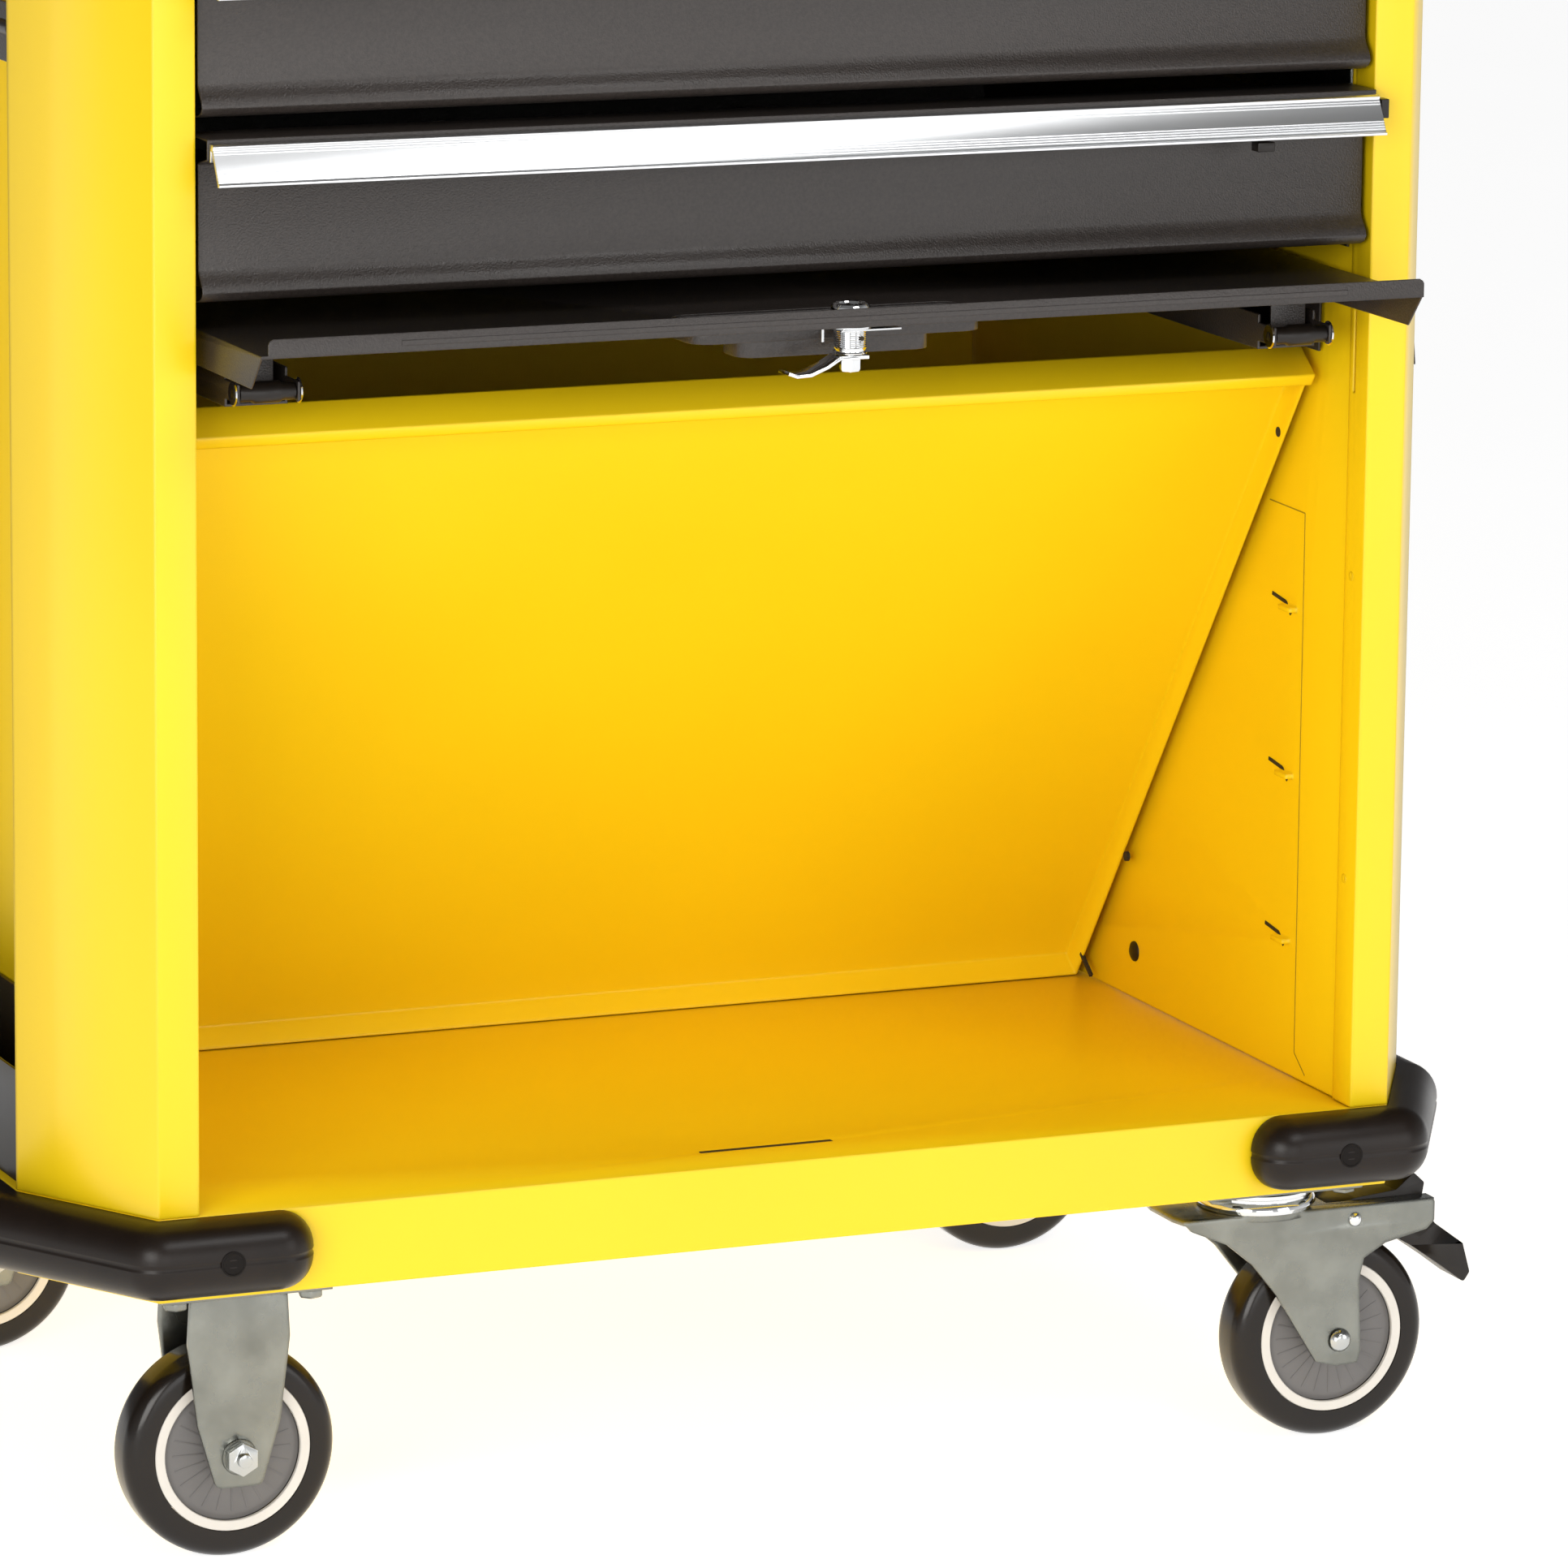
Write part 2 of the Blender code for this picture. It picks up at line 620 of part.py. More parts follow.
def door_guides(root):
    """Channels that the door slides over, with a roller between the ears of each."""
    inner, outer = ROLLER_X - 0.0175, ROLLER_X + 0.0175
    top, bottom = 0.6800, 0.6605
    path = [(inner, top), (inner, bottom), (outer, bottom), (outer, top),
            (OPENING_HALF - 0.0012, top), (OPENING_HALF - 0.0012, 0.650)]
    for side, sign in (("left", -1), ("right", 1)):
        channel = folded("Y", path, 0.0008, 0.530, SHEET)
        below = box((inner - 0.01, -0.01, bottom - 0.01), (outer + 0.04, 0.022, ROLLER_Z - 0.0050))
        above = box((inner - 0.01, -0.01, ROLLER_Z + 0.0055), (outer + 0.04, 0.022, top + 0.01))
        ledge = box((outer + SHEET / 2, -0.01, 0.64), (OPENING_HALF + 0.01, 0.060, top + 0.01))
        pins = rod("X", 0.0034, 0.28, 0.345, (ROLLER_Y, ROLLER_Z), 12)
        tab = box((ROLLER_X - 0.010, 0.0222, bottom), (ROLLER_X + 0.012, 0.0237, 0.6880))
        mesh = joined(cut(channel, below, above, ledge, pins), tab)
        if side == "left":
            mesh = mirrored_x(mesh)
        part(f"door_rail_{side}", mesh, "black_steel", root)

        axis = axis_empty(f"guide_roller_{side}_axis", (sign * ROLLER_X, ROLLER_Y, ROLLER_Z), root)
        profile = [(0, 0.0195), (0.0028, 0.0195), (0.0028, 0.0160), (0.0050, 0.0160),
                   (0.0050, 0.0090), (0.0062, 0.0070), (0.0062, -0.0070), (0.0050, -0.0090),
                   (0.0050, -0.0160), (0.0028, -0.0160), (0.0028, -0.0195), (0, -0.0195)]
        roller = turned("X", profile, segments=20, closed=False)
        part(f"guide_roller_{side}", roller, "black_plastic", axis)


# ---- castors ------------------------------------------------------------------------------
def wheel(name, parent):
    """Tread and core of one wheel, centred on its axle, which lies along Y."""
    half = WHEEL_WIDTH / 2
    rim = 0.0462
    tread = [(rim, -half), (0.0575, -half), (0.0610, -half + 0.0035), (WHEEL_RADIUS, -half + 0.009),
             (WHEEL_RADIUS, half - 0.009), (0.0610, half - 0.0035), (0.0575, half), (rim, half)]
    part(f"{name}_tyre", turned("Y", tread), "tread", parent)
    hub = FORK_INNER - 0.001
    bore = 0.0044
    core = [(bore, -hub), (0.0120, -hub), (0.0135, -half + 0.0030), (0.0395, -half + 0.0030),
            (0.0400, -half), (rim - GAP, -half), (rim - GAP, half), (0.0400, half),
            (0.0395, half - 0.0030), (0.0135, half - 0.0030), (0.0120, hub), (bore, hub)]
    part(f"{name}_core", turned("Y", core), "wheel_core", parent)


def axle(name, parent, nut):
    """Axle bolt through a fork: a domed head, and a nut or a second head."""
    outer = FORK_INNER + FORK_STEEL
    shank = rod("Y", 0.0040, -outer - 0.002, outer + 0.002, segments=16)
    head = turned("Y", [(0, outer + 0.0052), (0.0045, outer + 0.0042), (0.0070, outer + 0.0012),
                        (0.0070, outer + GAP), (0, outer + GAP)], segments=16, closed=False)
    if nut:
        other = rod("Y", 0.0098, -outer - 0.0068, -outer - GAP, segments=6)
        tip = rod("Y", 0.0040, -outer - 0.0105, -outer - 0.004, segments=16)
        mesh = joined(shank, head, other, tip)
    else:
        far = turned("Y", [(0, -outer - GAP), (0.0070, -outer - GAP), (0.0070, -outer - 0.0012),
                           (0.0045, -outer - 0.0042), (0, -outer - 0.0052)],
                     segments=16, closed=False)
        mesh = joined(shank, head, far)
    part(f"{name}_axle", mesh, "zinc", parent)


def fixed_castor(root, end, place_y):
    """Fixed castor: pressed fork under a plate, wheel rolling along X."""
    name = f"castor_{end}_left"
    top = -GAP
    plate = box((-0.050, -0.0425, top - 0.0030), (0.050, 0.0425, top))
    leg_outline = rounded_outline([
        (-0.0285, top - 0.002), (-0.0302, -0.032), (-0.0245, -0.080), (-0.0135, -0.1175),
        (0.0135, -0.1175), (0.0245, -0.080), (0.0302, -0.032), (0.0285, top - 0.002)], 0.004, 2)
    legs = []
    for low, high in ((-FORK_INNER - FORK_STEEL, -FORK_INNER), (FORK_INNER, FORK_INNER + FORK_STEEL)):
        legs.append(slab("Y", leg_outline, low, high))
    holes = rod("Y", 0.0043, -0.05, 0.05, (0, -AXLE_DROP), 16)
    bridge = box((-0.0285, -FORK_INNER - 0.001, top - 0.0055),
                 (0.0285, FORK_INNER + 0.001, top - 0.0020))
    mount = axis_empty(f"{name}_mount", (FIXED_X, place_y, RAIL_BOTTOM), root)
    fork = cut(joined(plate, bridge, *legs), holes)
    part(f"{name}_fork", fork, "zinc", mount)
    hub = axis_empty(f"{name}_wheel_axis", (0, 0, -AXLE_DROP), mount)
    axle(name, hub, nut=True)
    wheel(name, hub)


def swivel_fork():
    """Fork of a swivel castor about its swivel axis, trailing towards +X."""
    deck = -0.0185
    leg_outline = rounded_outline([
        (-0.0585, deck - 0.001), (-0.0535, -0.0250), (-0.0300, -0.0350), (-0.0130, -0.0490),
        (0.0030, -0.0690), (0.0180, -0.0930), (0.0300, -0.1120), (0.0420, -0.1155),
        (0.0570, -0.1150), (0.0590, -0.1080), (0.0570, -0.0640), (0.0600, -0.0510),
        (0.0740, -0.0430), (0.1010, -0.0370), (0.1060, -0.0320), (0.1060, deck - 0.001)],
        0.0012, 2)
    outer = FORK_INNER + FORK_STEEL
    legs = [slab("Y", leg_outline, low, low + FORK_STEEL) for low in (-outer, FORK_INNER)]
    top_plan = rounded_outline([(-0.0610, -0.0150), (-0.0585, -outer), (0.1060, -outer),
                                (0.1060, outer), (-0.0585, outer), (-0.0610, 0.0150)], 0.0012, 2)
    top = slab("Z", top_plan, deck - 0.0025, deck)
    race = rod("Z", 0.0330, deck - 0.0035, -0.0054, segments=28)
    window = box((0.0400, -0.0150, deck - 0.01), (0.1100, 0.0150, deck + 0.01))
    holes = rod("Y", 0.0043, -0.05, 0.05, (TRAIL, -AXLE_DROP), 16)
    pin_holes = rod("Y", 0.0034, -0.05, 0.05, (0.0535, -0.0270), 12)
    return cut(joined(top, race, *legs), window, holes, pin_holes)


def brake_pedal():
    """Two-armed brake lever about its pin, which lies along Y."""
    outline = rounded_outline([
        (-0.0080, 0.0060), (0.0060, 0.0095), (0.0330, 0.0120), (0.0450, 0.0215),
        (0.0520, 0.0150), (0.0500, 0.0030), (0.0600, -0.0110), (0.0790, -0.0250),
        (0.0840, -0.0430), (0.0800, -0.0490), (0.0640, -0.0370), (0.0440, -0.0230),
        (0.0220, -0.0100), (-0.0050, -0.0065)], 0.0015, 2)
    lever = slab("Y", outline, -0.0140, 0.0140)
    pin = rod("Y", 0.0030, -FORK_INNER - 0.0045, FORK_INNER + 0.0045, segments=12)
    return joined(lever, pin)


def swivel_castor(root, end, place_y):
    """Swivel castor with a brake: fixed plate, turning fork, wheel and pedal."""
    name = f"castor_{end}_right"
    mount = axis_empty(f"{name}_swivel_axis", (SWIVEL_X, place_y, RAIL_BOTTOM), root)
    plate = box((-0.0500, -0.0425, -0.0030 - GAP), (0.0500, 0.0425, -GAP))
    dome = turned("Z", [(0, -0.0050), (0.0330, -0.0050), (0.0350, -0.0030 - GAP / 2),
                        (0, -0.0030 - GAP / 2)], segments=28, closed=False)
    part(f"{name}_plate", joined(plate, dome), "zinc", mount)
    turn = axis_empty(f"{name}_turn_axis", (0, 0, 0), mount)
    part(f"{name}_fork", swivel_fork(), "zinc", turn)
    pin = axis_empty(f"{name}_pedal_axis", (0.0535, 0, -0.0270), turn)
    part(f"{name}_pedal", brake_pedal(), "black_plastic", pin)
    hub = axis_empty(f"{name}_wheel_axis", (TRAIL, 0, -AXLE_DROP), turn)
    axle(name, hub, nut=False)
    wheel(name, hub)


# ---- side fittings ------------------------------------------------------------------------
def bottle_rack(root):
    """Left recess: a retaining rail above and an open tray on the ledge below."""
    wall = -(OPENING_HALF + 2 * SHEET + 2 * GAP)
    reach = -0.427
    front, back = CHAMFER_DEPTH + 0.004, BODY_DEPTH - CHAMFER_DEPTH - 0.004
    plan = [(wall - 0.002, front + 0.002), (reach, front + 0.002),
            (reach, back - 0.002), (wall - 0.002, back - 0.002)]
    rail = folded("Z", plan, 0.843, 0.876, 0.003)
    part("bottle_rail", rail, "black_steel", root)
    shell = box((reach, front, FLOOR_TOP + GAP), (wall - 0.001, back, 0.275))
    hollow = box((reach + 0.002, front + 0.002, FLOOR_TOP + GAP + 0.002),
                 (wall - 0.003, back - 0.002, 0.30))
    part("bottle_tray", cut(shell, hollow), "black_plastic", root)


def side_shelf(root):
    """Right recess: fold-down side shelf, hinged at its top and hanging down."""
    axis = axis_empty("side_shelf_axis", (0.4130, BODY_DEPTH / 2, 0.882), root)
    half = (BODY_DEPTH / 2 - CHAMFER_DEPTH) - 0.004
    width = 0.2500
    shell = box((-0.0120, -half, -width), (0.0030, half, -0.008))
    hollow = box((-0.0200, -half + SHEET, -width + SHEET), (0.0030 - SHEET, half - SHEET, 0.01))
    pin = rod("Y", 0.0040, -half, half, (0, 0), 16)
    knuckles = [box((-0.0015, low, -0.010), (0.0030, low + 0.030, 0.000))
                for low in (-half + 0.020, half - 0.050)]
    leaf = joined(cut(shell, hollow), *knuckles, pin)
    leaf.transform(Matrix.Rotation(math.radians(-4.5), 4, "Y"))
    part("side_shelf", leaf, "black_steel", axis)


# ---- assembly -----------------------------------------------------------------------------
def build():
    """Put the whole trolley together."""
    root = axis_empty("trolley", (0, -CENTRE_Y, 0))
    base_pan(root)
    corner_posts(root)
    rear_shell(root)
    side_panels(root)
    top_frame(root)
    worktop(root)
    bumpers(root)
    leaning_shelf(root)
    slide_racks(root)
    for level in range(DRAWER_COUNT):
        drawer(root, level)
    pocket_door(root)
    door_guides(root)
    for end, place_y in (("front", CASTOR_INSET), ("rear", BODY_DEPTH - CASTOR_INSET)):
        fixed_castor(root, end, place_y)
        swivel_castor(root, end, place_y)
    bottle_rack(root)
    side_shelf(root)


build()
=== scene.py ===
"""Looks of the rolling tool box: finishes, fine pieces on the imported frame, studio and camera.

Everything is in metres in the frame of the CAD part: +Z up, -Y out of the drawer fronts, +X right.
"""

import json
import math

import bmesh
import bpy
from mathutils import Matrix, Vector


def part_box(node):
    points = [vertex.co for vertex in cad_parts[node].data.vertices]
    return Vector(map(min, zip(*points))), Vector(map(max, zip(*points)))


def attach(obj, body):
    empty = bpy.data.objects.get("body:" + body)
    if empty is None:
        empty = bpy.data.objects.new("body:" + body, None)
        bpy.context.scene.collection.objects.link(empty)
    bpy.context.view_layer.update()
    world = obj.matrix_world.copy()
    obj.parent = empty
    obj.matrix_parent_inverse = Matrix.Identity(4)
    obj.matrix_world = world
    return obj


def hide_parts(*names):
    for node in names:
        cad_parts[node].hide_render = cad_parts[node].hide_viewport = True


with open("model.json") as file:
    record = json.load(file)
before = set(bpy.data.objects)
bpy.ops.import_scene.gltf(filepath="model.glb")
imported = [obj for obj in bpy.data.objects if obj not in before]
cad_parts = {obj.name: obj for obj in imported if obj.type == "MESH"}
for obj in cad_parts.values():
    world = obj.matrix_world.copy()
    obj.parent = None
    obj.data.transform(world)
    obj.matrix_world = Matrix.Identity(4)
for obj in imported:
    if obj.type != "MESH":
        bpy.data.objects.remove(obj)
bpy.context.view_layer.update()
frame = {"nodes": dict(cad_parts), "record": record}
NODES = frame["nodes"]

# ---- sizes read from the CAD ---------------------------------------------------------------
PAN_LOW, PAN_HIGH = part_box("base_pan")
FRONT, BACK = PAN_LOW.y, PAN_HIGH.y
DEPTH = BACK - FRONT
HALF = PAN_HIGH.x
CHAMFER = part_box("post_front_right")[1].y - FRONT - 0.0007
FLAT_HALF = 0.380            # half of the flat front, between the chamfers
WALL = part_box("side_panel_right")[0].x + 0.0050
TREAD = 0.0625               # wheel radius
CAM_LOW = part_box("lock_cam")[1].z - 0.0020

PLUG_X = 0.3450              # bumper plugs, from the middle of the trolley
PLUG_FACE = 0.0253           # and out from the front or the back face
SUPPORT_HEIGHTS = (0.2940, 0.3940, 0.4940)
SUPPORT_DEPTHS = (0.0955, 0.4455)
WELD_HEIGHTS = (0.3450, 0.5245, 0.7900, 0.9100)

CAMERA_PLACE = (-1.8460, -4.5691, 1.4030)
CAMERA_YAW, CAMERA_PITCH, CAMERA_ROLL = 23.07, 11.71, 0.59
CAMERA_LENS = 194.9


# ---- finishes ------------------------------------------------------------------------------
def finish(name, colour, roughness, metallic=0.0, mottle=0.05, mottle_scale=14.0, grain=0.0,
           grain_scale=900.0, gloss_spread=0.05, specular=0.5, stretch=(1, 1, 1), edge=0.0):
    """Procedural finish: mottled colour, uneven gloss, a fine grain and softened edges."""
    material = bpy.data.materials.new(name)
    material.use_nodes = True
    tree = material.node_tree
    shader = tree.nodes["Principled BSDF"]
    shader.inputs["Metallic"].default_value = metallic
    shader.inputs["Specular IOR Level"].default_value = specular

    place = tree.nodes.new("ShaderNodeTexCoord")
    scale = tree.nodes.new("ShaderNodeMapping")
    scale.inputs["Scale"].default_value = stretch
    tree.links.new(place.outputs["Object"], scale.inputs["Vector"])

    cloud = tree.nodes.new("ShaderNodeTexNoise")
    cloud.inputs["Scale"].default_value = mottle_scale
    cloud.inputs["Detail"].default_value = 4
    tree.links.new(scale.outputs["Vector"], cloud.inputs["Vector"])
    tones = tree.nodes.new("ShaderNodeValToRGB")
    tones.color_ramp.elements[0].position = 0.32
    tones.color_ramp.elements[1].position = 0.70
    tones.color_ramp.elements[0].color = (*[c * (1 - mottle) for c in colour], 1)
    tones.color_ramp.elements[1].color = (*[min(1, c * (1 + mottle)) for c in colour], 1)
    tree.links.new(cloud.outputs["Fac"], tones.inputs["Fac"])
    tree.links.new(tones.outputs["Color"], shader.inputs["Base Color"])

    speck = tree.nodes.new("ShaderNodeTexNoise")
    speck.inputs["Scale"].default_value = grain_scale
    speck.inputs["Detail"].default_value = 2
    tree.links.new(scale.outputs["Vector"], speck.inputs["Vector"])
    gloss = tree.nodes.new("ShaderNodeMapRange")
    gloss.inputs["To Min"].default_value = max(0.02, roughness - gloss_spread)
    gloss.inputs["To Max"].default_value = min(1.0, roughness + gloss_spread)
    tree.links.new(cloud.outputs["Fac"], gloss.inputs["Value"])
    tree.links.new(gloss.outputs["Result"], shader.inputs["Roughness"])

    normal = None
    if edge:
        rounding = tree.nodes.new("ShaderNodeBevel")
        rounding.samples = 6
        rounding.inputs["Radius"].default_value = edge
        normal = rounding.outputs["Normal"]
    if grain:
        bump = tree.nodes.new("ShaderNodeBump")
        bump.inputs["Strength"].default_value = 1.0
        bump.inputs["Distance"].default_value = grain
        tree.links.new(speck.outputs["Fac"], bump.inputs["Height"])
        if normal:
            tree.links.new(normal, bump.inputs["Normal"])
        normal = bump.outputs["Normal"]
    if normal:
        tree.links.new(normal, shader.inputs["Normal"])
    return material


YELLOW = finish("powder_yellow", (0.88, 0.600, 0.004), 0.36, mottle=0.02, mottle_scale=5,
                grain=0.00003, grain_scale=420, gloss_spread=0.04, edge=0.0024)
BLACK = finish("powder_black", (0.030, 0.024, 0.021), 0.36, mottle=0.22, mottle_scale=500,
               grain=0.00030, grain_scale=900, gloss_spread=0.06, edge=0.0012)
PLASTIC = finish("moulded_black", (0.010, 0.007, 0.005), 0.36, mottle=0.10, grain=0.00002,
                 grain_scale=500, specular=0.35)
RUBBER = finish("bumper_rubber", (0.010, 0.006, 0.004), 0.33, mottle=0.20, mottle_scale=35,
                grain=0.00005, grain_scale=1100, specular=0.28)
ALUMINIUM = finish("extruded_aluminium", (0.76, 0.77, 0.78), 0.33, metallic=1.0, mottle=0.04,
                   grain=0.00003, grain_scale=260, stretch=(0.03, 1, 1))
ZINC = finish("zinc_plate", (0.245, 0.250, 0.225), 0.27, metallic=1.0, mottle=0.20, mottle_scale=30,
              grain=0.00004, grain_scale=240, gloss_spread=0.07, edge=0.0030)
CHROME = finish("chrome_plate", (0.78, 0.79, 0.80), 0.07, metallic=1.0, mottle=0.03,
                gloss_spread=0.03)
NUT = finish("bright_zinc", (0.52, 0.53, 0.52), 0.18, metallic=1.0, mottle=0.06,
             gloss_spread=0.04, edge=0.0008)
TYRE = finish("tyre_tread", (0.008, 0.005, 0.003), 0.20, mottle=0.15, mottle_scale=25,
              grain=0.00002, grain_scale=300, specular=0.35)
CORE = finish("wheel_core", (0.135, 0.127, 0.122), 0.46, mottle=0.06, mottle_scale=40,
              grain=0.00003, grain_scale=700)
RING = finish("wheel_ring", (0.66, 0.62, 0.56), 0.42, mottle=0.03, mottle_scale=40,
              grain=0.00002, grain_scale=700)
PLUG = finish("plug_rubber", (0.005, 0.003, 0.002), 0.65, mottle=0.10, mottle_scale=60,
              specular=0.2)
# Painted shade: a near-black finish for pieces put in slits, slots, holes and the key slot, where
# there is only shade.
SHADOW = finish("painted_gap_shade", (0.020, 0.013, 0.004), 0.80, mottle=0.10, mottle_scale=80)
# Painted shade: a darker copy of the yellow, for the thin line where the side wall's seam shades.
SEAM_SHADE = finish("painted_seam_shade", (0.33, 0.22, 0.004), 0.60, mottle=0.10, mottle_scale=80)

SLOT_FINISH = {"yellow_steel": YELLOW, "black_steel": BLACK, "black_plastic": PLASTIC,
               "rubber": RUBBER, "aluminium": ALUMINIUM, "zinc": ZINC, "chrome": CHROME,
               "tread": TYRE, "wheel_core": CORE}


# ---- mesh tools ----------------------------------------------------------------------------
def dress(obj, material, smooth=35):
    """Give a mesh one material and smooth shading that breaks at sharp edges."""
    obj.data.materials.clear()
    obj.data.materials.append(material)
    obj.data.shade_smooth()
    obj.data.set_sharp_from_angle(angle=math.radians(smooth))


def soften(obj, width, segments=2, angle=35):
    """Round the sharp edges of an object."""
    weld = obj.modifiers.new("weld", "WELD")
    weld.merge_threshold = 0.00001
    bevel = obj.modifiers.new("soft_edges", "BEVEL")
    bevel.width = width
    bevel.segments = segments
    bevel.limit_method = "ANGLE"
    bevel.angle_limit = math.radians(angle)
    bevel.harden_normals = True


def piece(name, shape, material, body, smooth=35):
    """Turn a bmesh into a named piece that rides on a CAD body."""
    mesh = bpy.data.meshes.new(name)
    bmesh.ops.recalc_face_normals(shape, faces=shape.faces)
    shape.to_mesh(mesh)
    shape.free()
    obj = bpy.data.objects.new(name, mesh)
    bpy.context.scene.collection.objects.link(obj)
    dress(obj, material, smooth)
    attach(obj, body)
    return obj


def axis_frame(axis):
    """Matrix that takes a piece made along +Z to lie along X, Y or Z."""
    if axis == "X":
        return Matrix(((0, 0, 1, 0), (1, 0, 0, 0), (0, 1, 0, 0), (0, 0, 0, 1)))
    if axis == "Y":
        return Matrix(((0, 1, 0, 0), (0, 0, 1, 0), (1, 0, 0, 0), (0, 0, 0, 1)))
    return Matrix.Identity(4)


def lathe(shape, axis, profile, centre, segments=64, phase=0.0):
    """Add a turned body to a bmesh. The profile lists (radius, height) along the axis."""
    turn = Matrix.Translation(centre) @ axis_frame(axis)
    rings = []
    for radius, height in profile:
        if radius < 1e-6:
            rings.append([shape.verts.new(turn @ Vector((0, 0, height)))])
            continue
        ring = []
        for step in range(segments):
            angle = 2 * math.pi * step / segments + phase
            point = Vector((radius * math.cos(angle), radius * math.sin(angle), height))
            ring.append(shape.verts.new(turn @ point))
        rings.append(ring)
    for low, high in zip(rings, rings[1:]):
        for step in range(segments):
            corners = [low[step % len(low)], low[(step + 1) % len(low)],
                       high[(step + 1) % len(high)], high[step % len(high)]]
            unique = list(dict.fromkeys(corners))
            if len(unique) > 2:
                shape.faces.new(unique)
    return shape


def rod(shape, axis, radius, low, high, centre, segments=32, chamfer=0.0, phase=0.0):
    """Add a closed cylinder to a bmesh, with chamfered ends when asked."""
    start = [(0, low), (radius - chamfer, low)] + ([(radius, low + chamfer)] if chamfer else [])
    end = ([(radius, high - chamfer)] if chamfer else []) + [(radius - chamfer, high), (0, high)]
    return lathe(shape, axis, start + end, centre, segments, phase)


def block(shape, low, high):
    """Add a box to a bmesh."""
    made = bmesh.ops.create_cube(shape, size=1)["verts"]
    size = Vector(high) - Vector(low)
    middle = (Vector(high) + Vector(low)) / 2
    for vert in made:
        vert.co = Vector((vert.co.x * size.x, vert.co.y * size.y, vert.co.z * size.z)) + middle
    return shape


def extrude(shape, axis, outline, low, high):
    """Add a prism to a bmesh. The outline is (Y, Z) along X, (Z, X) along Y or (X, Y) along Z."""
    turn = axis_frame(axis)
    ends = [[shape.verts.new(turn @ Vector((a, b, height))) for a, b in outline]
            for height in (low, high)]
    shape.faces.new(ends[0])
    shape.faces.new(list(reversed(ends[1])))
    count = len(outline)
    for step in range(count):
        following = (step + 1) % count
        shape.faces.new([ends[0][following], ends[0][step], ends[1][step], ends[1][following]])
    return shape


def arc(centre, radius, start, stop, steps):
    """Points on an arc, angles in degrees."""
    points = []
    for step in range(steps + 1):
        angle = math.radians(start + (stop - start) * step / steps)
        points.append((centre[0] + radius * math.cos(angle), centre[1] + radius * math.sin(angle)))
    return points


def plan(x, y, z):
    """A place measured from the front face of the body."""
    return Vector((x, FRONT + y, z))


# ---- CAD nodes that stay -------------------------------------------------------------------
def dress_frame():
    """Finish every CAD node by its slot and round its edges a little."""
    slots = {row["node"]: row["material_slot"] for row in frame["record"]["subparts"]}
    widths = {"yellow_steel": 0.0006, "black_steel": 0.0004, "black_plastic": 0.0008,
              "aluminium": 0.0003, "zinc": 0.0005, "chrome": 0.0003}
    for name, node in NODES.items():
        slot = slots[name]
        dress(node, NUT if name.endswith("_axle") else SLOT_FINISH[slot])
        if slot in widths:
            soften(node, widths[slot])


# ---- wheels --------------------------------------------------------------------------------
def wheel(end, side):
    """Fine tyre, light ring and ribbed core of one castor, in place of the CAD ones."""
    castor = f"castor_{end}_{side}"
    body = f"wheel_{end}_{side}"
    low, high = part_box(f"{castor}_tyre")
    centre = (low + high) / 2
    half = (high.y - low.y) / 2
    rim = 0.0464
    tread = [(rim, -half), (0.0500, -half - 0.0002)] + shoulders(0.0100, half)
    tread += [(0.0500, half + 0.0002), (rim, half), (rim, -half)]
    tyre = piece(f"{castor}_tread", lathe(bmesh.new(), "Y", tread, centre, 128), TYRE,
                 body, 40)
    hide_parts(f"{castor}_tyre")

    face = half - 0.0026
    ring = bmesh.new()
    for sign in (-1, 1):
        lathe(ring, "Y", [(0.0403, sign * face), (0.0403, sign * (half - 0.0004)),
                          (0.0408, sign * half), (0.0455, sign * half),
                          (0.0460, sign * (half - 0.0004)), (0.0460, sign * face),
                          (0.0403, sign * face)], centre, 96)
    piece(f"{castor}_ring", ring, RING, body)

    core = bmesh.new()
    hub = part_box(f"{castor}_core")[1].y - centre.y
    lathe(core, "Y", [(0.0044, -hub), (0.0115, -hub), (0.0120, -hub + 0.0005),
                      (0.0130, -face - 0.0006), (0.0150, -face), (0.0360, -face),
                      (0.0380, -face + 0.0009), (0.0401, -face + 0.0009),
                      (0.0401, face - 0.0009), (0.0380, face - 0.0009), (0.0360, face),
                      (0.0150, face), (0.0130, face + 0.0006), (0.0120, hub - 0.0005),
                      (0.0115, hub), (0.0044, hub), (0.0044, -hub)], centre, 96)
    ribs = 24
    for step in range(ribs):
        turn = Matrix.Translation(centre) @ Matrix.Rotation(2 * math.pi * step / ribs, 4, "Y")
        for sign in (-1, 1):
            outer = sorted((sign * (face - 0.0005), sign * (face + 0.00025)))
            before = set(core.verts)
            block(core, (0.0165, outer[0], -0.00045), (0.0352, outer[1], 0.00045))
            bmesh.ops.transform(core, matrix=turn,
                                verts=[vert for vert in core.verts if vert not in before])
    made = piece(f"{castor}_ribbed_core", core, CORE, body)
    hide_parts(f"{castor}_core")


def shoulders(radius, half):
    """The rounded tread between the two side faces of a tyre."""
    inner = TREAD - radius
    left = [(inner + radius * math.sin(a), -half + radius * (1 - math.cos(a)))
            for a in (math.radians(15 * step) for step in range(7))]
    return left + [(r, -z) for r, z in reversed(left)]


def bolt_head(shape, centre, across, thick, axis="Z", down=True):
    """Add a hexagon head with a chamfered outer face."""
    sign = -1 if down else 1
    radius = across / math.sqrt(3)
    lathe(shape, axis, [(0, 0), (radius, 0), (radius, sign * thick * 0.8),
                        (radius * 0.88, sign * thick), (0, sign * thick)], centre, 6, 0.3)
    return shape


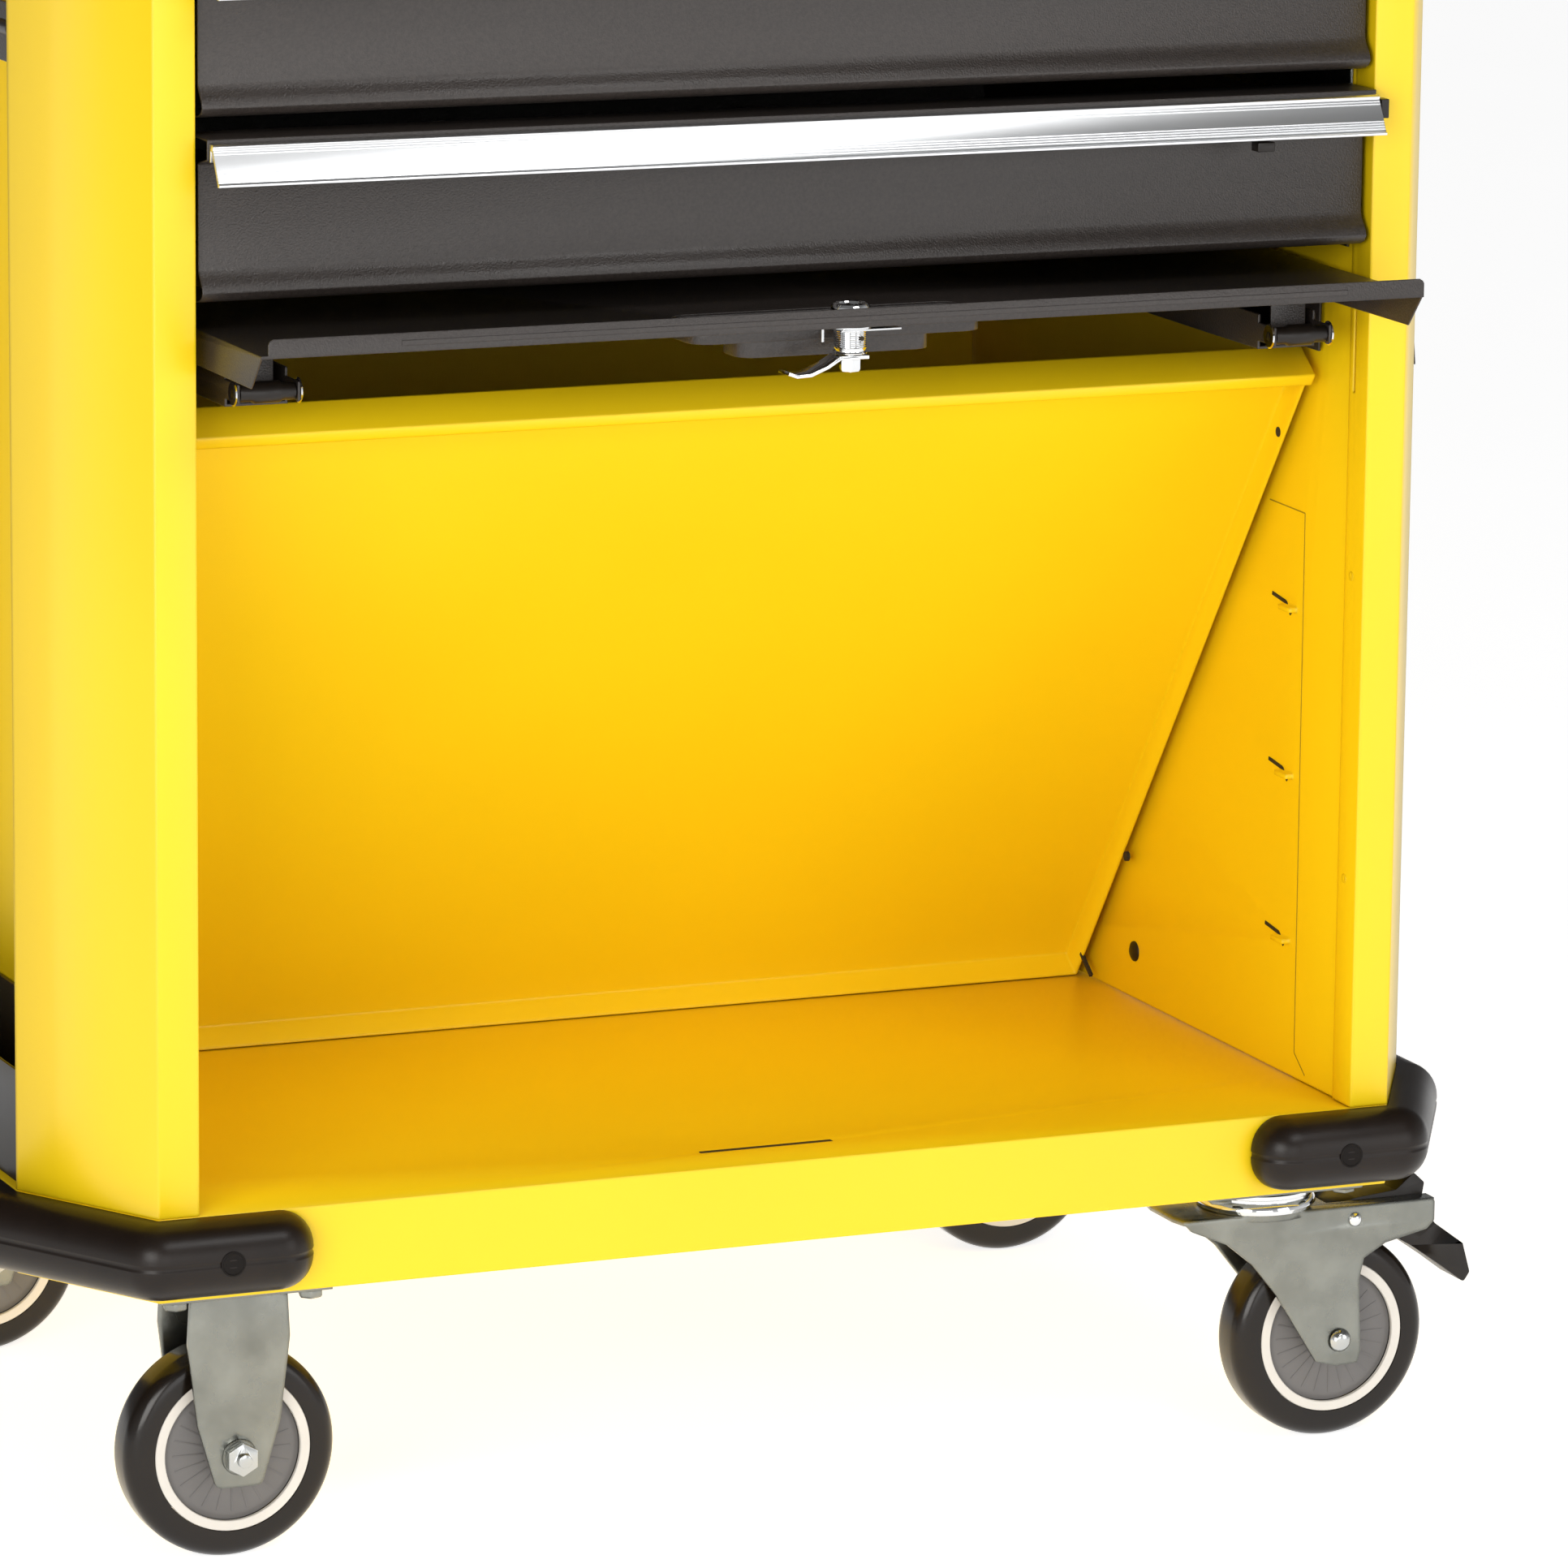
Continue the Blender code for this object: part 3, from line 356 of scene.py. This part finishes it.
def castor_trim(end, side):
    """Mounting bolts, race rings and rivets on one castor."""
    castor = f"castor_{end}_{side}"
    wheel_low, wheel_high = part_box(f"{castor}_tyre")
    middle_y = (wheel_low.y + wheel_high.y) / 2
    bolts = bmesh.new()
    if side == "left":
        low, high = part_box(f"{castor}_fork")
        middle_x = (low.x + high.x) / 2
        under, thick, spread = high.z - 0.0032, 0.0052, 0.033
    else:
        low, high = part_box(f"{castor}_plate")
        middle_x = (low.x + high.x) / 2
        under, thick, spread = high.z - 0.0031, 0.0026, 0.0355
    for dx in (-0.040, 0.040):
        for dy in (-spread, spread):
            bolt_head(bolts, (middle_x + dx, middle_y + dy, under), 0.0125, thick)
    piece(f"{castor}_bolts", bolts, ZINC, "body")

    if side == "left":
        washers = bmesh.new()
        for sign in (-1, 1):
            lathe(washers, "Y", [(0.0040, 0), (0.0100, 0), (0.0104, sign * 0.0003),
                                 (0.0100, sign * 0.0006), (0.0040, sign * 0.0006)],
                  (middle_x, middle_y + sign * 0.0270, TREAD), 40)
        piece(f"{castor}_washers", washers, ZINC, "body")
        return

    fork_body = f"swivel_{end}"
    race = bmesh.new()
    rail = PAN_LOW.z
    lathe(race, "Z", [(0.0310, rail - 0.0182), (0.0345, rail - 0.0176), (0.0362, rail - 0.0150),
                      (0.0356, rail - 0.0122), (0.0338, rail - 0.0104), (0.0338, rail - 0.0092),
                      (0.0352, rail - 0.0082), (0.0352, rail - 0.0062), (0.0310, rail - 0.0056),
                      (0.0310, rail - 0.0182)], (middle_x, middle_y, 0), 72)
    piece(f"{castor}_race", race, CHROME, fork_body)
    rivets = bmesh.new()
    for sign in (-1, 1):
        lathe(rivets, "Y", [(0, sign * 0.0024), (0.0022, sign * 0.0021), (0.0038, sign * 0.0010),
                            (0.0042, 0), (0, 0)],
              (middle_x + 0.0535, middle_y + sign * 0.0271, rail - 0.0270), 24)
    piece(f"{castor}_rivets", rivets, CHROME, fork_body)


# ---- bumpers -------------------------------------------------------------------------------
def bumper_plan():
    """Plan of a right front bumper from the front face, as (x, y, way in).

    The way in is the direction a point moves as the section narrows, zero next to the body.
    """
    proud = PAN_LOW.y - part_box("bumper_front_right")[0].y
    front_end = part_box("bumper_front_right")[0].x
    side_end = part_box("bumper_front_right")[1].y - FRONT
    round_end = 0.0235
    slope = Vector((HALF - FLAT_HALF, CHAMFER)).normalized()
    lean = math.degrees(math.atan2(-slope.x, slope.y))

    def turn(centre, radius, start, stop, steps):
        return [(x, y, (Vector(centre) - Vector((x, y))).normalized())
                for x, y in arc(centre, radius, start, stop, steps)]

    still = Vector((0, 0))
    points = [(front_end + 0.0005, -0.0006, Vector((1, 0)))]
    points += turn((front_end + round_end, -proud + round_end), round_end, 184, 270, 10)
    points += turn((FLAT_HALF, 0), proud, -90, lean, 8)
    points += turn((HALF, CHAMFER), proud, lean, 0, 6)
    points += turn((HALF + proud - round_end, side_end - round_end), round_end, 5, 86, 10)
    points += [(HALF + 0.0006, side_end - 0.0005, Vector((0, -1))),
               (HALF + 0.0006, CHAMFER, still), (FLAT_HALF + 0.0005, -0.0006, still)]
    return points


def bumper(end, side):
    """Moulded corner bumper with a rounded section and a shallow groove along its middle."""
    name = f"bumper_{end}_{side}"
    low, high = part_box(name)
    outline = bumper_plan()
    count = len(outline)
    height = high.z - low.z
    rise_high, inset_deep, groove = 0.0195, 0.0185, 0.0006
    section = []
    for step in range(10):
        angle = math.radians(10 * step)
        section.append((inset_deep * (1 - math.sin(angle)), rise_high * (1 - math.cos(angle))))
    middle = height / 2
    section += [(0.0, middle - 0.0018), (groove, middle - 0.0010), (groove, middle + 0.0010),
                (0.0, middle + 0.0018)]
    section += [(inset, height - rise) for inset, rise in reversed(section[:10])]
    flip_x = -1 if side == "left" else 1
    shape = bmesh.new()
    rings = []
    for inset, rise in section:
        ring = []
        for x, y, way_in in outline:
            px, py = x + way_in.x * inset, y + way_in.y * inset
            world_y = FRONT + py if end == "front" else BACK - py
            ring.append(shape.verts.new((flip_x * px, world_y, low.z + rise)))
        rings.append(ring)
    for lower, upper in zip(rings, rings[1:]):
        for step in range(count):
            following = (step + 1) % count
            shape.faces.new([lower[step], lower[following], upper[following], upper[step]])
    shape.faces.new(rings[0])
    shape.faces.new(rings[-1])
    made = piece(f"{name}_moulding", shape, RUBBER, "body", 50)
    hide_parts(name)

    plug = bmesh.new()
    face = -PLUG_FACE if end == "front" else DEPTH + PLUG_FACE
    sign = -1 if end == "front" else 1
    centre = plan(flip_x * PLUG_X, face, (low.z + high.z) / 2)
    lathe(plug, "Y", [(0, -sign * 0.0020), (0.0072, -sign * 0.0020), (0.0072, sign * 0.0000),
                      (0.0064, sign * 0.0003), (0.0058, -sign * 0.0002), (0, -sign * 0.0004)],
          centre, 32)
    piece(f"{name}_plug", plug, PLUG, "body")


# ---- drawers -------------------------------------------------------------------------------
def drawer_trim(level):
    """Fine ridges and the end tab of one drawer's grip strip."""
    body = f"drawer_{level}"
    low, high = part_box(f"{body}_handle")
    base = low.z - 0.0680
    bottom, top = Vector((-0.0244, 0.0704)), Vector((-0.0154, 0.0870))
    along = (top - bottom).normalized()
    out = Vector((-along.y, along.x))
    ridges = bmesh.new()
    for share in (0.06, 0.14, 0.22, 0.30, 0.86, 0.94):
        centre = bottom.lerp(top, share)
        corners = [centre - along * 0.0006 - out * 0.0004, centre - along * 0.0003 + out * 0.0003,
                   centre + along * 0.0003 + out * 0.0003, centre + along * 0.0006 - out * 0.0004]
        extrude(ridges, "X", [(FRONT + c.x, base + c.y) for c in corners],
                low.x + 0.0004, high.x - 0.0004)
    piece(f"{body}_grip_ridges", ridges, ALUMINIUM, body)

    tab = block(bmesh.new(), plan(0.3535, -0.0140, base + 0.0760),
                plan(0.3585, -0.0060, base + 0.0870))
    soften(piece(f"{body}_end_tab", tab, PLASTIC, body), 0.0006)


# ---- door and lock -------------------------------------------------------------------------
def lock():
    """Threaded lock barrel, in place of the CAD one, with its nuts, pin and plate."""
    low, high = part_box("lock_barrel")
    centre = Vector(((low.x + high.x) / 2, (low.y + high.y) / 2, 0))
    panel = high.z - 0.0110
    barrel = bmesh.new()
    profile = [(0, high.z - 0.0012), (0.0070, high.z - 0.0012), (0.0074, high.z - 0.0004),
               (0.0084, high.z), (0.0098, high.z - 0.0005), (0.0107, high.z - 0.0018),
               (0.0110, high.z - 0.0034), (0.0110, panel + 0.0010), (0.0106, panel + 0.0004),
               (0.0092, panel + 0.0004), (0.0092, panel - 0.0010)]
    pitch, threads = 0.0011, 12
    start = panel - 0.0014
    for step in range(threads):
        profile += [(0.0095, start - pitch * step), (0.0090, start - pitch * (step + 0.5))]
    end = start - pitch * threads
    profile += [(0.0086, end - 0.0004), (0.0086, end - 0.0012), (0, end - 0.0012)]
    lathe(barrel, "Z", profile, centre, 56)
    rod(barrel, "Z", 0.0030, CAM_LOW - 0.0079, end, centre, 24, 0.0004)
    made = piece("lock_threaded_barrel", barrel, CHROME, "door", 30)
    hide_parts("lock_barrel")

    nuts = bmesh.new()
    bolt_head(nuts, centre + Vector((0, 0, CAM_LOW - 0.0003)), 0.0105, 0.0070)
    lathe(nuts, "Z", [(0.0032, end - 0.0012), (0.0094, end - 0.0012), (0.0098, end - 0.0018),
                      (0.0094, end - 0.0024), (0.0032, end - 0.0024)], centre, 40)
    lathe(nuts, "Z", [(0.0096, panel - 0.0016), (0.0125, panel - 0.0016), (0.0125, panel - 0.0026),
                      (0.0096, panel - 0.0026), (0.0096, panel - 0.0016)], centre, 40)
    piece("lock_nuts", nuts, CHROME, "door")

    # Painted shade: near-black pieces in the key slot and keyhole of the lock.
    key = bmesh.new()
    block(key, centre + Vector((-0.0007, -0.0045, high.z - 0.0014)),
          centre + Vector((0.0007, 0.0045, high.z - 0.0010)))
    rod(key, "Y", 0.0013, -0.0099, -0.0090, centre + Vector((0.003, 0, panel - 0.0080)), 16)
    piece("lock_key_slot_shade", key, SHADOW, "door")

    pin = rod(bmesh.new(), "Z", 0.0008, panel - 0.0095, panel - 0.0020,
              centre + Vector((-0.0185, -0.0045, 0)), 16)
    piece("lock_stop_pin", pin, CHROME, "door")

    plate = block(bmesh.new(), (centre.x - 0.010, centre.y - 0.0110, panel - 0.0037),
                  (centre.x + 0.026, centre.y + 0.0110, panel - 0.0028))
    piece("lock_tab_plate", plate, CHROME, "door")


def rollers():
    """Bright spring clips on the ends of the door's guide rollers."""
    for side in ("left", "right"):
        name = f"guide_roller_{side}"
        low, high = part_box(name)
        centre = Vector(((low.x + high.x) / 2, (low.y + high.y) / 2, (low.z + high.z) / 2))
        half = (high.x - low.x) / 2
        clips = bmesh.new()
        for sign in (-1, 1):
            lathe(clips, "X", [(0.0024, sign * (half - 0.0012)), (0.0064, sign * (half - 0.0012)),
                               (0.0072, sign * (half - 0.0006)), (0.0064, sign * half),
                               (0.0024, sign * half), (0.0024, sign * (half - 0.0012))],
                  centre, 32)
        piece(f"{name}_clips", clips, CHROME, f"roller_{side}")


# ---- body ----------------------------------------------------------------------------------
def wall_line(shape, points, width, low, high):
    """Add a flat strip on a side wall along points given as (depth from the front, height)."""
    for (y0, z0), (y1, z1) in zip(points, points[1:]):
        span = Vector((y1 - y0, z1 - z0))
        across = Vector((-span.y, span.x)).normalized() * width / 2
        corners = [(y0 - across.x, z0 - across.y), (y1 - across.x, z1 - across.y),
                   (y1 + across.x, z1 + across.y), (y0 + across.x, z0 + across.y)]
        extrude(shape, "X", [(FRONT + y, z) for y, z in corners], low, high)


def wall_details():
    """Painted shade in the slits of the pressed supports and along a seam, and a push rivet, on
    each side wall.
    """
    for side, sign in (("left", -1), ("right", 1)):
        face = sign * WALL
        slits, seam = bmesh.new(), bmesh.new()
        # Painted shade: near-black strips in the slits of the pressed supports.
        for height in SUPPORT_HEIGHTS:
            for start in SUPPORT_DEPTHS:
                wall_line(slits, [(start + 0.0250, height + 0.0024), (start + 0.0070, height),
                                  (start, height - 0.0062)], 0.0022,
                          *sorted((face - sign * 0.0005, face + sign * 0.0006)))
        # Painted shade: a thin darker yellow strip along the seam line.
        wall_line(seam, [(0.1268, 0.5515), (0.0800, 0.5507), (0.0785, 0.2258), (0.0640, 0.2150)],
                  0.0008, *sorted((face - sign * 0.0002, face + sign * 0.0004)))
        piece(f"wall_slit_shade_{side}", slits, SHADOW, "body")
        piece(f"wall_seam_shade_{side}", seam, SEAM_SHADE, "body")

        rivet = bmesh.new()
        lathe(rivet, "X", [(0, -sign * 0.0026), (0.0035, -sign * 0.0023), (0.0062, -sign * 0.0008),
                           (0.0064, 0), (0, 0)], plan(face, 0.3010, 0.2400), 28)
        piece(f"wall_rivet_{side}", rivet, PLASTIC, "body")


def weld_dimples():
    """Shallow spot-weld marks on the door jambs."""
    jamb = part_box("post_front_right")[0].x
    for side, sign in (("left", -1), ("right", 1)):
        marks = bmesh.new()
        for height in WELD_HEIGHTS:
            lathe(marks, "X", [(0, -sign * 0.0001), (0.0016, -sign * 0.0001),
                               (0.0026, -sign * 0.0003), (0.0032, sign * 0.0004),
                               (0, sign * 0.0004)], plan(sign * jamb, 0.0150, height), 24)
        piece(f"weld_marks_{side}", marks, YELLOW, "body")


def floor_slot():
    """Painted shade: a near-black strip at the bottom of the slot behind the compartment's front
    edge.
    """
    strip = block(bmesh.new(), plan(-0.0408, 0.0352, PAN_HIGH.z - 0.0013),
                  plan(0.0408, 0.0387, PAN_HIGH.z + 0.0002))
    piece("floor_slot_shadow", strip, SHADOW, "body")


def door_hem():
    """Folded hem on the door's pull lip."""
    low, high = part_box("door_panel")
    hem = block(bmesh.new(), (-0.268, low.y - 0.0003, high.z - 0.0072),
                (0.300, low.y + 0.0004, high.z - 0.0040))
    soften(piece("door_hem", hem, BLACK, "door"), 0.0003)


def left_recess():
    """Round rod along the top of the bottle rail."""
    low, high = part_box("bottle_rail")
    tube = rod(bmesh.new(), "Y", 0.0044, low.y + 0.001, high.y - 0.001,
               Vector((low.x + 0.0012, 0, low.z + 0.0190)), 32, 0.0008)
    piece("bottle_rail_rod", tube, PLASTIC, "body")


def shelf_details():
    """Painted shade in the fixing holes and a corner slot of the parked shelf's side flanges."""
    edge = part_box("leaning_shelf")[1].x
    holes = bmesh.new()
    for sign in (-1, 1):
        ends = sorted((sign * (edge - 0.0018), sign * (edge + 0.0002)))
        for depth, height in ((0.1021, 0.5961), (0.2999, 0.3008)):
            rod(holes, "X", 0.0030, *ends, plan(0, depth, height), 24)
        wall_line(holes, [(0.3630, 0.2260), (0.3480, 0.2150)], 0.0022, *ends)
    piece("shelf_hole_shade", holes, SHADOW, "body")


# ---- studio --------------------------------------------------------------------------------
def camera():
    """Camera at the left of the front, looking slightly down."""
    yaw, pitch, roll = (math.radians(a) for a in (CAMERA_YAW, CAMERA_PITCH, CAMERA_ROLL))
    right = Vector((math.cos(yaw), -math.sin(yaw), 0))
    forward = Vector((math.sin(yaw) * math.cos(pitch), math.cos(yaw) * math.cos(pitch),
                      -math.sin(pitch)))
    down = forward.cross(right)
    across = math.cos(roll) * right - math.sin(roll) * down
    up = -(math.sin(roll) * right + math.cos(roll) * down)
    turn = Matrix((across, up, -forward)).transposed().to_4x4()
    data = bpy.data.cameras.new("camera")
    data.sensor_width = 36
    data.lens = CAMERA_LENS
    data.clip_end = 50
    obj = bpy.data.objects.new("camera", data)
    obj.matrix_world = Matrix.Translation(CAMERA_PLACE) @ turn
    bpy.context.scene.collection.objects.link(obj)
    bpy.context.scene.camera = obj


def softbox(name, place, aim, size, watts, colour=(1, 1, 1)):
    """Rectangular area light that faces a point."""
    data = bpy.data.lights.new(name, "AREA")
    data.shape = "RECTANGLE"
    data.size, data.size_y = size
    data.energy = watts
    data.color = colour
    obj = bpy.data.objects.new(name, data)
    obj.location = place
    obj.rotation_euler = (Vector(aim) - Vector(place)).to_track_quat("-Z", "Y").to_euler()
    bpy.context.scene.collection.objects.link(obj)


def studio():
    """White floor and surroundings, darker overhead and behind, with soft lights."""
    world = bpy.data.worlds.new("studio")
    world.use_nodes = True
    tree = world.node_tree
    direction = tree.nodes.new("ShaderNodeTexCoord")
    split = tree.nodes.new("ShaderNodeSeparateXYZ")
    tree.links.new(direction.outputs["Generated"], split.inputs["Vector"])

    def ramp(source, start, stop, first, last):
        node = tree.nodes.new("ShaderNodeMapRange")
        node.inputs["From Min"].default_value = start
        node.inputs["From Max"].default_value = stop
        node.inputs["To Min"].default_value = first
        node.inputs["To Max"].default_value = last
        tree.links.new(split.outputs[source], node.inputs["Value"])
        return node.outputs["Result"]

    above = ramp("Z", 0.0, 0.06, 0.0, 1.0)
    overhead = ramp("Z", 0.1, 0.6, 1.0, 0.22)
    behind = ramp("Y", -0.2, 0.5, 0.70, 0.16)
    product = tree.nodes.new("ShaderNodeMath")
    product.operation = "MULTIPLY"
    tree.links.new(overhead, product.inputs[0])
    tree.links.new(behind, product.inputs[1])
    blend = tree.nodes.new("ShaderNodeMix")
    blend.inputs["A"].default_value = 1.0
    tree.links.new(above, blend.inputs["Factor"])
    tree.links.new(product.outputs["Value"], blend.inputs["B"])
    tree.links.new(blend.outputs["Result"], tree.nodes["Background"].inputs["Strength"])
    tree.nodes["Background"].inputs["Color"].default_value = (1, 1, 1, 1)
    bpy.context.scene.world = world
    bpy.context.scene.view_settings.view_transform = "Standard"

    shape = bmesh.new()
    bmesh.ops.create_grid(shape, x_segments=4, y_segments=4, size=14)
    mesh = bpy.data.meshes.new("floor")
    shape.to_mesh(mesh)
    shape.free()
    floor = bpy.data.objects.new("floor", mesh)
    floor.location = (0, 0, -0.0005)
    bpy.context.scene.collection.objects.link(floor)
    paper = finish("studio_floor", (0.90, 0.90, 0.90), 0.75, mottle=0.01, mottle_scale=2)
    sockets = paper.node_tree.nodes["Principled BSDF"].inputs
    sockets["Emission Color"].default_value = (1, 1, 1, 1)
    sockets["Emission Strength"].default_value = 0.80
    dress(floor, paper)

    softbox("key", (-2.9, -3.4, 1.3), (0, 0, 0.55), (2.2, 1.8), 80, (1, 0.98, 0.95))
    softbox("fill", (2.4, -3.6, 1.1), (0, 0, 0.5), (1.6, 1.8), 18)
    softbox("front", (0.9, -3.2, 3.4), (0, -0.3, 0.6), (2.2, 1.0), 40)
    softbox("low", (-0.2, -4.6, 0.9), (0, 0.2, 0.4), (2.4, 1.4), 22)


dress_frame()
for end in ("front", "rear"):
    for side in ("left", "right"):
        wheel(end, side)
        castor_trim(end, side)
        bumper(end, side)
for level in (1, 2, 3):
    drawer_trim(level)
lock()
rollers()
wall_details()
weld_dimples()
floor_slot()
door_hem()
left_recess()
shelf_details()
camera()
studio()
